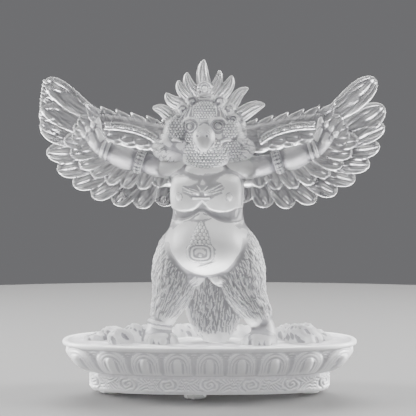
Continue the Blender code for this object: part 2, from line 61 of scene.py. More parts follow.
# Lotus base, in metres. It is the foot of the casting, of milky frosted glass: an oval drum with a
# running scroll pressed into its wall, and on it one row of broad petals that flares to a plain rim.
BASE_LENGTH = 0.1325
BASE_DEPTH = 0.066
UNDERSIDE = 0.002
GROUND_HEIGHT = 0.0236
FOOT_BAND_HEIGHT = 0.0080
FOOT_ROUNDING = 0.0018
NECK_GROOVE = 0.0006
LOTUS_OVERHANG = 0.0123
RIM_LEDGE_WIDTH = 0.0026
RIM_LEDGE_HEIGHT = 0.0008
RIM_BAND_HEIGHT = 0.0020
RIM_LIP = 0.0006
OVAL_SQUARENESS = 2.5
PETAL_COUNT = 19
PETAL_BULGE = 0.0021
PETAL_LINE = 0.0003
PETAL_KNOB = 0.0014
PETAL_SQUATNESS = 0.80
SCROLL_RELIEF = 0.00042
SCROLL_PITCH = 0.0016
SCROLL_REACH = 0.0052
SCROLL_COUNT = 14
GROUND_WAVE = 0.0002
COLUMNS_PER_PETAL = 28
RELIEF_HEIGHT = 0.00017
SOFTENINGS = (3, 12, 40)
BASE_COLOUR = (0.92, 0.91, 0.94, 1)
MATTING_CLOUDS = 90
MATTING_SPREAD = 0.22
# Shares of the relief at which the glass's painted shade in grooves is darkest, its plain colour sits and its
# painted highlight on edges is white.
GROOVE_SHADE_MARK, PLAIN_MARK, EDGE_HIGHLIGHT_MARK = 0.3, 0.66, 0.79


def round_off(angles, power):
    """Cosines and sines of some angles, squared off where power is over 2."""
    c, s = np.cos(angles), np.sin(angles)
    return np.sign(c) * abs(c) ** (2 / power), np.sign(s) * abs(s) ** (2 / power)


def ridge(distance, half_width):
    """A rounded ridge: 1 on its crest, 0 beyond its half-width."""
    return np.clip(1 - (distance / half_width) ** 2, 0, 1)


def foot_outline(columns):
    """The oval of the foot, evenly divided from the front round: points, outward directions and girth."""
    angles = math.tau * np.arange(12 * columns) / (12 * columns) - math.pi / 2
    c, s = round_off(angles, OVAL_SQUARENESS)
    fine = np.column_stack([(BASE_LENGTH / 2 - LOTUS_OVERHANG) * c, (BASE_DEPTH / 2 - LOTUS_OVERHANG) * s])
    closed = np.vstack([fine, fine[:1]])
    length = np.concatenate([[0], np.cumsum(np.linalg.norm(np.diff(closed, axis=0), axis=1))])
    even = np.arange(12 * columns) * length[-1] / (12 * columns)
    points = np.column_stack([np.interp(even, length, closed[:, k]) for k in (0, 1)])
    reach = columns // 30
    ahead = np.roll(points, -reach, axis=0) - np.roll(points, reach, axis=0)
    away = np.column_stack([ahead[:, 1], -ahead[:, 0]]) / np.linalg.norm(ahead, axis=1)[:, None]
    return points[::12], away[::12], length[-1]


def petal_relief(along, up):
    """Height of the petals above the rim's line. Along counts petals, up is a share of their height."""
    across = (along + 0.5) % 1 - 0.5
    arch = np.hypot(across, PETAL_SQUATNESS * max(0, up - 0.46))
    body = np.sqrt(np.clip(1 - (arch / 0.475) ** 2, 0, 1)) * min(1, up / 0.1)
    lines = sum(ridge(arch - radius, 0.03) for radius in (0.405, 0.315, 0.225))
    knob = np.hypot(across, PETAL_SQUATNESS * max(0, up - 0.60))
    boss = np.sqrt(ridge(knob, 0.125)) * min(1, max(0, (up - 0.1) / 0.25))
    between = along % 1 - 0.5
    tip = np.hypot(between, PETAL_SQUATNESS * max(0, up - 0.66))
    behind = (arch > 0.44) * sum(ridge(tip - radius, 0.028) for radius in (0.04, 0.115, 0.19))
    return PETAL_BULGE * (body - 1) + PETAL_LINE * (lines * (arch < 0.44) + behind) + PETAL_KNOB * boss


def scroll_relief(along, band, girth):
    """A running scroll round the foot: flattened spirals with crossed strokes between them."""
    spacing = girth / SCROLL_COUNT
    place = along / spacing + 0.5
    turned = np.where(np.floor(place) % 2 > 0, 1, -1)
    x = ((place % 1) - 0.5) * spacing * turned
    z = (band - 0.5) * FOOT_BAND_HEIGHT + 0.0003 * np.sin(math.tau * 5 * place)
    reach = np.hypot(x / 1.35, z)
    spiral = np.cos(math.tau * (reach / SCROLL_PITCH - np.arctan2(z, x) / math.tau))
    inside = np.clip(2 - 2 * (np.hypot(x, z) / SCROLL_REACH) ** 4, 0, 1)
    lean = z + 0.0006 * np.sin(math.tau * x / 0.005)
    strokes = np.cos(math.tau * (abs(x) - 0.5 * spacing + 1.3 * lean * np.sign(z - 0.0008)) / 0.0021)
    edge = min(1, max(0, min(band, 1 - band) / 0.14))
    return SCROLL_RELIEF * edge * (spiral * inside + 0.8 * strokes * (1 - inside))


def base_profile():
    """Rows up the base: overhang beyond the foot, height, and shares of the foot's and the petals' height."""
    neck = UNDERSIDE + FOOT_BAND_HEIGHT
    rim_top = GROUND_HEIGHT + RIM_LEDGE_HEIGHT
    rim_foot = rim_top - RIM_BAND_HEIGHT
    rows = [(FOOT_ROUNDING * (math.sin(turn) - 1), UNDERSIDE + FOOT_ROUNDING * (1 - math.cos(turn)), 0, 0)
            for turn in np.radians([0, 18, 36, 54, 72])]
    wall_foot, wall_top = UNDERSIDE + FOOT_ROUNDING, neck - 2 * NECK_GROOVE
    rows += [(0, wall_foot + (wall_top - wall_foot) * t, 0.16 + 0.68 * t, 0) for t in np.linspace(0, 1, 22)]
    rows += [(-0.6 * NECK_GROOVE, neck - NECK_GROOVE, 0, 0), (-NECK_GROOVE, neck, 0, 0)]
    for up in np.linspace(0.015, 0.985, 48):
        swell = math.sin(math.pi / 2 * up) ** 0.62
        rows.append(((LOTUS_OVERHANG - RIM_LIP) * swell, neck + (rim_foot - neck) * up, 0, up))
    for turn in np.radians(np.linspace(-90, 90, 11)):
        rows.append((LOTUS_OVERHANG - RIM_LIP * (1 - math.cos(turn)),
                     rim_foot + RIM_BAND_HEIGHT / 2 * (1 + math.sin(turn)), 0, 0))
    ledge = LOTUS_OVERHANG - RIM_LEDGE_WIDTH
    rows += [(LOTUS_OVERHANG - 2 * RIM_LIP, rim_top, 0, 0), (ledge + RIM_LIP, rim_top, 0, 0)]
    rows += [(ledge, rim_top - 0.3 * RIM_LEDGE_HEIGHT, 0, 0), (ledge - RIM_LEDGE_HEIGHT, GROUND_HEIGHT, 0, 0)]
    return rows


def base_rings():
    columns = PETAL_COUNT * COLUMNS_PER_PETAL
    points, away, girth = foot_outline(columns)
    petals = np.arange(columns) / COLUMNS_PER_PETAL
    rings = []
    for overhang, height, band, up in base_profile():
        relief = np.zeros(columns)
        if up:
            relief = petal_relief(petals, up)
        elif band:
            relief = scroll_relief(petals * girth / PETAL_COUNT, band, girth)
        outline = points + away * (overhang + relief)[:, None]
        rings.append(np.column_stack([outline, np.full(columns, height)]))
    underside = [rings[0] * (share, share, 1) for share in (0.04, 0.4, 0.75, 0.94)]
    ground = []
    for share in np.linspace(0.96, 0.02, 20):
        flat = rings[-1][:, :2] * share
        wave = np.sin(flat[:, 0] * 520) * np.sin(flat[:, 1] * 610 + 1) + 0.6 * np.sin(flat @ (310, 540))
        ground.append(np.column_stack([flat, GROUND_HEIGHT + GROUND_WAVE * (1 - share**8) * (wave - 1)]))
    return underside + rings + ground


def add_skin(shapes, rings):
    """Adds a closed skin over rings of points, each with as many points as the next, to a list of shapes."""
    rings = np.asarray(rings, float)
    rows, count = rings.shape[:2]
    low = np.arange(count) + count * np.arange(rows - 1)[:, None]
    ahead = np.roll(low, -1, axis=1)
    quads = np.stack([low, ahead, ahead + count, low + count], -1).reshape(-1, 4)
    ends = [list(range(count))[::-1], list(range((rows - 1) * count, rows * count))]
    shapes.append((rings.reshape(-1, 3), quads.tolist() + ends))


def mesh_of(name, shapes):
    """One mesh of all the shapes in a list."""
    points, faces, first = [], [], 0
    for corners, sides in shapes:
        points.append(corners)
        faces += [[first + corner for corner in side] for side in sides]
        first += len(corners)
    mesh = bpy.data.meshes.new(name)
    mesh.from_pydata(np.vstack(points).tolist(), [], faces)
    return mesh


def read_all(items, what, width=3, kind=float):
    """One row of width numbers for each of a mesh's items."""
    values = np.empty(width * len(items), kind)
    items.foreach_get(what, values)
    return values.reshape(-1, width)


def mark_relief(mesh):
    """Stores how far each point of a mesh stands out from the softened surface, as a share from 0 to 1.
    The glass materials paint shade into the low points and highlights onto the high ones from it.
    """
    points, normals = read_all(mesh.vertices, "co"), read_all(mesh.vertex_normals, "vector")
    edges = read_all(mesh.edges, "vertices", 2, int)
    first, second = np.concatenate([edges, edges[:, ::-1]]).T
    count = np.maximum(np.bincount(first, minlength=len(points)), 1)
    soft, height = points.copy(), np.zeros(len(points))
    for step in range(1, SOFTENINGS[-1] + 1):
        soft = np.column_stack([np.bincount(first, soft[second, k], len(points)) / count for k in range(3)])
        if step in SOFTENINGS:
            height += ((points - soft) * normals).sum(axis=1) / RELIEF_HEIGHT / math.sqrt(step)
    marks = mesh.attributes.new("relief", "FLOAT", "POINT")
    marks.data.foreach_set("value", np.clip(0.5 + height, 0, 1))


def add_node(nodes, kind, **values):
    """Adds a shader node of a kind, with values for some of its inputs."""
    node = nodes.new("ShaderNode" + kind)
    for name, value in values.items():
        node.inputs[name.replace("_", " ")].default_value = value
    return node


def glass(name, colour, groove_shade, roughness, transmission, grain, grain_size):
    """Cast glass, matted unevenly, with a fine grain, with painted highlights on its edges and painted
    shade in its grooves.

    The groove shade is the share of the colour that the painted shade leaves in the grooves. Grain is
    the height of the surface's pits and grain_size their spacing, both in metres.
    """
    made = bpy.data.materials.new(name)
    made.use_nodes = True
    nodes, links = made.node_tree.nodes, made.node_tree.links
    shader = nodes["Principled BSDF"]
    shader.inputs["Transmission Weight"].default_value = transmission
    shader.inputs["IOR"].default_value = 1.5
    place = add_node(nodes, "TexCoord")
    cloud = add_node(nodes, "TexNoise", Scale=MATTING_CLOUDS, Detail=3)
    links.new(place.outputs["Object"], cloud.inputs["Vector"])
    matting = add_node(nodes, "MapRange", From_Min=0.3, From_Max=0.7,
                       To_Min=roughness * (1 - MATTING_SPREAD), To_Max=roughness * (1 + MATTING_SPREAD))
    links.new(cloud.outputs["Fac"], matting.inputs["Value"])
    links.new(matting.outputs["Result"], shader.inputs["Roughness"])
    relief = add_node(nodes, "Attribute")
    relief.attribute_name = "relief"
    # Painted light: this ramp paints shade into the grooves and a white highlight onto the raised edges, read
    # from the relief.
    painted_shade_and_highlight = add_node(nodes, "ValToRGB")
    tones = painted_shade_and_highlight.color_ramp.elements
    tones[0].position, tones[1].position = GROOVE_SHADE_MARK, EDGE_HIGHLIGHT_MARK
    tones[0].color = (*(groove_shade * c for c in colour[:3]), 1)
    tones[1].color = (1, 1, 1, 1)
    tones.new(PLAIN_MARK).color = colour
    links.new(relief.outputs["Fac"], painted_shade_and_highlight.inputs["Fac"])
    tint = add_node(nodes, "Mix")
    tint.data_type = "RGBA"
    tint.blend_type = "MULTIPLY"
    tint.inputs["B"].default_value = (0.9, 0.9, 0.9, 1)
    links.new(cloud.outputs["Fac"], tint.inputs["Factor"])
    links.new(painted_shade_and_highlight.outputs["Color"], tint.inputs["A"])
    links.new(tint.outputs["Result"], shader.inputs["Base Color"])
    pits = add_node(nodes, "TexNoise", Scale=1 / grain_size, Detail=2)
    links.new(place.outputs["Object"], pits.inputs["Vector"])
    bump = add_node(nodes, "Bump", Distance=grain, Strength=0.6)
    links.new(pits.outputs["Fac"], bump.inputs["Height"])
    links.new(bump.outputs["Normal"], shader.inputs["Normal"])
    return made


def put_in_place(name, mesh, material, node="garuda_statue"):
    """Makes a mesh a piece of the statue that stands for a node."""
    piece = bpy.data.objects.new(name, mesh)
    bpy.context.collection.objects.link(piece)
    mesh.shade_smooth()
    mark_relief(mesh)
    mesh.materials.clear()
    mesh.materials.append(material)
    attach(piece, "root")
    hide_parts(node)


shapes = []
add_skin(shapes, base_rings())
milky_glass = glass("milky_glass", BASE_COLOUR, groove_shade=0.68, roughness=0.42, transmission=0.55,
                    grain=0.00006, grain_size=0.0005)
put_in_place("lotus_base", mesh_of("lotus_base", shapes), milky_glass)

# Pads, in metres. Four round bumpers of clear, slightly yellow silicone, moulded with a rounded lower edge
# and stuck to the flat underside: one in front, one behind and one near each end.
PAD_RADIUS = 0.005
PAD_ROUNDING = 0.0008
PAD_DISH = 0.00015
PAD_CORNERS = 48
PAD_COLOUR = (0.88, 0.86, 0.78, 1)

silicone = glass("clear_silicone", PAD_COLOUR, groove_shade=0.8, roughness=0.3, transmission=0.45,
                 grain=0.00002, grain_size=0.0004)
for node in ("pad_front", "pad_back", "pad_left", "pad_right"):
    low, high = (Vector(corner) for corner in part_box(node))
    middle = (low + high) / 2
    profile = [(0.05 * PAD_RADIUS, low.z + PAD_DISH), (0.7 * PAD_RADIUS, low.z + PAD_DISH / 2)]
    for turn in np.radians(np.linspace(0, 90, 7)):
        radius = PAD_RADIUS - PAD_ROUNDING * (1 - math.sin(turn))
        profile.append((radius, low.z + PAD_ROUNDING * (1 - math.cos(turn))))
    profile += [(0.985 * PAD_RADIUS, high.z - 0.0001), (0.96 * PAD_RADIUS, high.z)]
    profile.append((0.05 * PAD_RADIUS, high.z))
    c, s = round_off(math.tau * np.arange(PAD_CORNERS) / PAD_CORNERS, 2)
    rings = [np.column_stack([middle.x + r * c, middle.y + r * s, np.full(PAD_CORNERS, z)])
             for r, z in profile]
    shapes = []
    add_skin(shapes, rings)
    put_in_place(node + "_bumper", mesh_of(node, shapes), silicone, node)

# Body, in units of 0.45 mm above the ground. The garuda's trunk, legs and tail are one satin-frosted
# mass. It was modelled in clay with every join worked round, so its shapes are fused and softened.
FIGURE_HEIGHT = 0.126
UNITS_HIGH = 280
UNIT = FIGURE_HEIGHT / UNITS_HIGH
FIGURE_TURN = math.radians(-4.5)
FIGURE_SHIFT = -0.0003
FIGURE_SINK = 0.0004
HEAD_X = -4.8
LEG_SHIFT = 2.6
SIDES = (-1, 1)
CLAY_VOXEL = 1.15
CLAY_SOFTENING = 34
THIGH = [
    (24, 0, 110, 15, 20), (29.3, -2, 92, 20.8, 24), (34.7, -4, 72, 21.6, 23), (36.2, -6, 52, 20.6, 20.5),
    (43.5, -7, 34, 15.8, 17), (47.5, -8, 24, 13.4, 14.5), (49.5, -8, 19, 12, 13),
]
ANKLE = [
    (48, -8, 28, 9.5, 10), (51.6, -9, 16, 11.8, 12), (53.2, -10, 8, 12.4, 12.5), (53.6, -11, -4, 13.5, 14),
]
TAIL = [
    (2, 16, 80, 10, 8), (3.5, 15, 68, 13, 8.5), (4.5, 12, 56, 19.5, 9), (5, 8, 45, 26, 9.5),
    (5, 4, 34, 28.5, 10), (6, 0, 23, 26.5, 9.5), (7, -3, 11, 20.5, 8.5), (7.5, -5, 3, 14, 7.5),
    (7.5, -5, -4, 12, 7),
]


def smooth(rows, steps):
    """Rows on a smooth curve through the given rows, with steps stretches between each two."""
    rows = np.array(rows, float)
    before, after = np.vstack([rows[:1], rows[:-1]]), np.vstack([rows[1:], rows[-1:]])
    beyond = np.vstack([rows[2:], rows[-1:], rows[-1:]])
    found = [
        rows[i] + (after[i] - before[i]) * t / 2
        + (2 * before[i] - 5 * rows[i] + 4 * after[i] - beyond[i]) * t**2 / 2
        + (3 * rows[i] - before[i] - 3 * after[i] + beyond[i]) * t**3 / 2
        for i in range(len(rows) - 1) for t in np.arange(steps) / steps
    ]
    return np.vstack([found, rows[-1:]])


def add_swept(shapes, path, ahead, across, width, depth):
    """Adds a skin round a path. Width and depth place each ring's points along across and off it."""
    ahead = ahead / np.linalg.norm(ahead, axis=1)[:, None]
    side = across - ahead * (ahead @ across)[:, None]
    side /= np.linalg.norm(side, axis=1)[:, None]
    face = np.cross(ahead, side)
    add_skin(shapes, path[:, None] + side[:, None] * width[..., None] + face[:, None] * depth[..., None])


def add_lock(shapes, path, across, halves, thicknesses, count=20, power=2, flutes=0):
    """Adds a lock along a path, with half-widths along across. Flutes are grooves along its faces."""
    path, across = np.asarray(path, float), np.asarray(across, float)
    ahead = np.vstack([path[1:], path[-1:]]) - np.vstack([path[:1], path[:-1]])
    c, s = round_off(math.tau * np.arange(count) / count, power)
    width = np.asarray(halves, float)[:, None] * c
    grooves = 0.34 * np.cos(math.pi * flutes * c) * (flutes > 0)
    depth = np.asarray(thicknesses, float)[:, None] * s * (1 + grooves)
    add_swept(shapes, path, ahead, across, width, depth)


def add_limb(shapes, sections, steps=6, count=28, across=(1, 0, 0), power=2):
    """Adds a round limb. Each section holds x, y, z, half-width and half-depth."""
    rows = smooth(sections, steps)
    add_lock(shapes, rows[:, :3], across, rows[:, 3], rows[:, 4], count, power)


def add_ball(shapes, centre, radii, turn=(0, 0, 0)):
    """Adds an egg: its centre, its three radii, and its turns about X, Y and Z in degrees."""
    place = Matrix.Identity(3)
    for axis, angle in zip("XYZ", turn):
        place = place @ Matrix.Rotation(math.radians(angle), 3, axis)
    heights = np.cos(np.linspace(math.pi - 0.03, 0.03, 20))
    widths = np.sqrt(1 - heights**2)[:, None]
    angles = math.tau * np.arange(32) / 32
    rings = np.stack([widths * np.cos(angles), widths * np.sin(angles), heights[:, None] + 0 * angles], -1)
    add_skin(shapes, (rings * radii) @ np.array(place).T + centre)


def leg(sections, side):
    """A leg's sections on one side. The legs are shifted to one side below the hips."""
    shift = LEG_SHIFT * np.clip((60 - np.array(sections)[:, 2]) / 36, 0, 1)
    return [(side * x + aside, y, z, width, depth) for aside, (x, y, z, width, depth) in zip(shift, sections)]


def modify(mesh, *modifiers):
    """A new mesh, which modifiers make of a mesh. Each is a pair: its type and its settings."""
    lump = bpy.data.objects.new("lump", mesh)
    bpy.context.collection.objects.link(lump)
    for kind, settings in modifiers:
        modifier = lump.modifiers.new(kind, kind)
        for name, value in settings.items():
            setattr(modifier, name, value)
    made = bpy.data.meshes.new_from_object(lump.evaluated_get(bpy.context.evaluated_depsgraph_get()))
    bpy.data.objects.remove(lump)
    return made


def fuse(shapes, voxel, softening):
    """One skin of all the shapes in a list, with its creases worked round."""
    return modify(mesh_of("clay", shapes), ("REMESH", {"mode": "VOXEL", "voxel_size": voxel}),
                  ("SMOOTH", {"factor": 0.5, "iterations": softening}))


def shape_of(mesh):
    """The points and faces of a mesh, as a shape."""
    return read_all(mesh.vertices, "co"), [list(face.vertices) for face in mesh.polygons]


clay = []
add_limb(clay, [
    (-1, 4, 72, 14, 10), (-1, -2, 82, 38, 24), (-1, -2, 98, 42, 27), (-1, -1, 112, 38.5, 26),
    (-1, 0, 122, 36, 20), (-1, 0, 130, 35, 18.5), (-1, 0, 142, 36, 20), (-1, 0, 156, 36.5, 22),
    (-1, 1, 166, 33, 19), (-2, 1, 174, 22, 16), (-3, 0, 184, 15, 14),
], 5, 40, power=2.5)
add_limb(clay, [
    (-1.5, -5, 179, 22, 6), (-1.5, -8.5, 172, 28, 8.5), (-1.5, -13, 163, 32.5, 11),
    (-1.5, -15.5, 152, 35, 13), (-1.5, -16.5, 142, 35, 13.6), (-1.5, -16, 133, 34.2, 13.4),
    (-1.5, -14, 126, 33, 13), (-1.5, -12, 119, 31, 14),
], 6, 60, power=2.8)
add_ball(clay, (-1, -10, 97), (40, 36, 32))
add_ball(clay, (-2, -12, 107), (35, 27, 20))
add_limb(clay, TAIL, 5, 36, power=2.2)
add_ball(clay, (-3, -20, 172), (19, 9, 8))
for side in SIDES:
    add_ball(clay, (26 * side - 1, -9, 97), (17, 20, 21.5))
    add_ball(clay, (13 * side - 1, -8, 66.5), (11.5, 14, 11.5))
    add_ball(clay, (32 * side - 2, -5, 173), (19, 15, 11))
    add_limb(clay, leg(THIGH, side), 6, 36)
    add_limb(clay, leg(ANKLE, side), 6, 32)
    add_ball(clay, (side * 49.5 + LEG_SHIFT, -14, 2), (17.5, 20, 9))
    shoulder = [(18 * side, 3, 168, 12, 13), (30 * side, 1, 171, 11.5, 12.5), (38 * side, 0, 172, 11.5, 12.5)]
    add_limb(clay, shoulder, across=(0, 0, 1))
figure = [shape_of(fuse(clay, CLAY_VOXEL, CLAY_SOFTENING))]

# Belly's upper edge, ankles and toes. They are cut crisp into the clay: a peaked edge under the breast,
# rings round the left ankle, a ragged hem of down round the right one, and three toes to a foot.
add_limb(figure, [
    (-3, -12, 106, 33, 20), (-3.5, -12.4, 114, 31, 20.8), (-4, -13, 119, 26, 20.4),
    (-4.5, -13.5, 123, 17, 19.4), (-4.8, -13.5, 126.5, 8, 18.2), (-5, -13.5, 129, 3, 16.7),
], 5, 44)
for height in (18.5, 13.5):
    add_limb(figure, [(-47.9, -8.5, height + 2, 11.8, 12.6), (-48.2, -8.7, height, 13, 13.8),
                      (-48.5, -8.9, height - 2, 11.8, 12.6)], 4, 32)
for k in range(9):
    turn = math.radians(-140 + 35 * k)
    outward = np.array((math.sin(turn), -math.cos(turn), 0))
    root = np.array((45.5, -7.5, 36)) + outward * 12.4
    tip = np.array((50, -8, 22.5 + 3 * (k % 2))) + outward * 13
    shares = np.linspace(0, 1, 12)[:, None]
    taper = 1 - shares[:, 0] ** 2.2
    add_lock(figure, root + (tip - root) * shares, (math.cos(turn), math.sin(turn), 0), 0.3 + 4.4 * taper,
             0.3 + 2.8 * taper, 24, flutes=5)
for side in SIDES:
    add_ball(figure, (25 * side - 2.5, -28.2, 144), (2, 2.2, 2))
    for spread in (-1, 0, 1):
        root = np.array((side * 47.5 + LEG_SHIFT + 7 * spread, -16, 3))
        reach = np.array((0.3 * spread - 0.12 * side, -1 + 0.1 * abs(spread), 0))
        toe = [
            (*(root + reach * along + (0, 0, up)), half, half)
            for along, up, half in ((0, 0, 5.5), (5, 0.8, 5.3), (10, 0, 4.7), (15, -1.5, 4.3), (20, -6, 1.6))
        ]
        add_limb(figure, toe, 4, 20)
    spur = [(side * 53 + LEG_SHIFT, 0, 6, 6, 6), (side * 53.5 + LEG_SHIFT, 9, 4, 4.6, 4.6),
            (side * 54 + LEG_SHIFT, 16, -2, 1.8, 1.8)]
    add_limb(figure, spur, 4, 16)

# Boulders. Low worn stones of satin glass beside and behind the feet, cast in one with the ground. Each
# has its place, as shares of the ground's half-length and half-depth, and three radii in units.
boulders = [
    (-0.62, -0.30, 13, 11, 15), (-0.54, 0.05, 18, 14, 16), (-0.70, 0.24, 17, 14, 12),
    (-0.82, 0.06, 12, 11, 8), (-0.47, 0.50, 19, 12, 12), (0.66, -0.10, 20, 16, 19),
    (0.58, 0.30, 18, 14, 14), (0.78, 0.10, 14, 13, 10), (0.44, 0.54, 17, 11, 11),
    (-0.19, 0.52, 15, 11, 13), (0.25, 0.48, 14, 11, 12), (0.03, 0.62, 22, 10, 10),
]
unturned = np.array(Matrix.Rotation(-FIGURE_TURN, 3, "Z"))
for along, back, half_length, half_depth, height in boulders:
    x = ((BASE_LENGTH / 2 - RIM_LEDGE_WIDTH) * along - FIGURE_SHIFT) / UNIT
    y = (BASE_DEPTH / 2 - RIM_LEDGE_WIDTH) / UNIT * back
    tilt = (0, math.copysign(12, along), 0)
    add_ball(figure, unturned @ (x, y, -1), (half_length, half_depth, height), tilt)

# Carving of the body. Shaggy down on the thighs and the tail, a fold under the breast, ornaments on the
# breast and the belly, and worn hollows in the boulders, all cut up to 1.5 mm deep into the satin glass.
FIGURE_VOXEL = 0.66
BODY_TRIANGLES = 184000
SATIN_COLOUR = (0.31, 0.305, 0.33, 1)
DOWN_DEPTH = 2
FOLD_DEPTH = 3.2
EMBLEM = (-4.5, 147)
BELLY_FRAME = (-5, 90.5)
BREAST_EDGE = smooth([
    (-38, 134), (-30, 131), (-20, 130.5), (-12, 132.5), (-7.5, 137), (-4.5, 140), (-1.5, 137), (3, 132.5),
    (11, 130), (21, 130), (29, 133),
], 6)
BELLY_EDGE = smooth([
    (-36, 121.5), (-25, 121.5), (-16, 124.5), (-5, 130.3), (5, 125), (16, 120.3), (28, 119.6), (34, 121),
], 6)


def swell(x, z, size):
    """An uneven swell between -1 and 1, with hills about size apart."""
    a, b = x * math.tau / size, z * math.tau / size
    hills = np.sin(a + 1.3 * np.sin(0.7 * b + 0.4)) * np.sin(0.9 * b + 1.1 * np.sin(0.6 * a + 2))
    return (hills + 0.5 * np.sin(1.7 * a + 2.3 * b + 1)) / 1.5


def chance(row, column):
    """An even scatter of numbers from 0 to 1, always the same for one place."""
    return (np.sin(12.9898 * row + 78.233 * column) * 43758.5453) % 1


def hairs(across, down, width, length):
    """Short tapered hairs that lie over each other a little unevenly, 0 to 1 high."""
    height = np.zeros(len(across))
    for layer in range(3):
        column = across / width + 0.37 * layer
        place = down / length + chance(np.floor(column), 3.1 * layer)
        own = chance(np.floor(column) + 7 * layer, np.floor(place))
        along = place % 1
        beside = column % 1 - 0.5 + (own - 0.5) * (along - 0.5)
        hair = np.clip(1 - (beside / (0.5 - 0.3 * along)) ** 2, 0, 1) * np.sin(math.pi * along) ** 0.6
        height = np.maximum(height, hair * (0.55 + 0.45 * own))
    return height


def tufts(across, down, width, length):
    """Pointed tufts of down that hang over each other, 0 to about 1 high."""
    height = np.zeros(len(across))
    across = across + 0.3 * width * swell(across, down, 30)
    down = down + 0.4 * length * swell(down, across, 17)
    for row in (0, 1):
        place = down / length + row / 2 + 0.12 * np.sin(across / width * 1.3)
        level = np.floor(place)
        fall = place - level
        beside = across / width + 0.5 * level + 0.25 * row + 0.17 * np.sin(5.1 * level)
        beside -= np.floor(beside) + 0.5
        half = 0.56 * np.sqrt(np.clip(1 - fall**3, 0.0004, 1))
        height = np.maximum(height, np.sqrt(np.clip(1 - (beside / half) ** 2, 0, 1)) * (0.3 + 0.7 * fall))
    return height


def beads(x, z, pitch):
    """Round beads set closely in staggered rows, 0 to 1 high."""
    height = np.zeros(len(x))
    for shift in (0, 0.5):
        u = x / pitch + shift
        v = z / (pitch * math.sqrt(3)) + shift
        gap = np.hypot((u - np.round(u)) * pitch, (v - np.round(v)) * pitch * math.sqrt(3))
        height = np.maximum(height, np.sqrt(np.clip(1 - (gap / (0.5 * pitch)) ** 2, 0, 1)))
    return height


def inside(x, z, centre, radii, fade=0.12):
    """1 inside an oval on the figure's front, fading to 0 at its edge."""
    reach = np.hypot((x - centre[0]) / radii[0], (z - centre[1]) / radii[1])
    return np.clip((1 - reach) / fade, 0, 1)


def stroke(x, z, start, end, half_width):
    """A stroke of carving between two points, rounded across and pointed at its far end."""
    start, ahead = np.array(start, float), np.subtract(end, start).astype(float)
    share = np.clip(((x - start[0]) * ahead[0] + (z - start[1]) * ahead[1]) / (ahead @ ahead), 0, 1)
    gap = np.hypot(x - start[0] - share * ahead[0], z - start[1] - share * ahead[1])
    return ridge(gap, half_width * (1.05 - 0.7 * share))


def leg_place(x, y, z, side):
    """Distance from a thigh's middle, as a share of its radius, and distance round it."""
    rows = np.array(leg(THIGH, side))[::-1]
    middle_x, middle_y, width, depth = (np.interp(z, rows[:, 2], rows[:, k]) for k in (0, 1, 3, 4))
    round_it = np.arctan2(side * (x - middle_x), -(y - middle_y))
    return np.hypot((x - middle_x) / width, (y - middle_y) / depth), round_it * 19


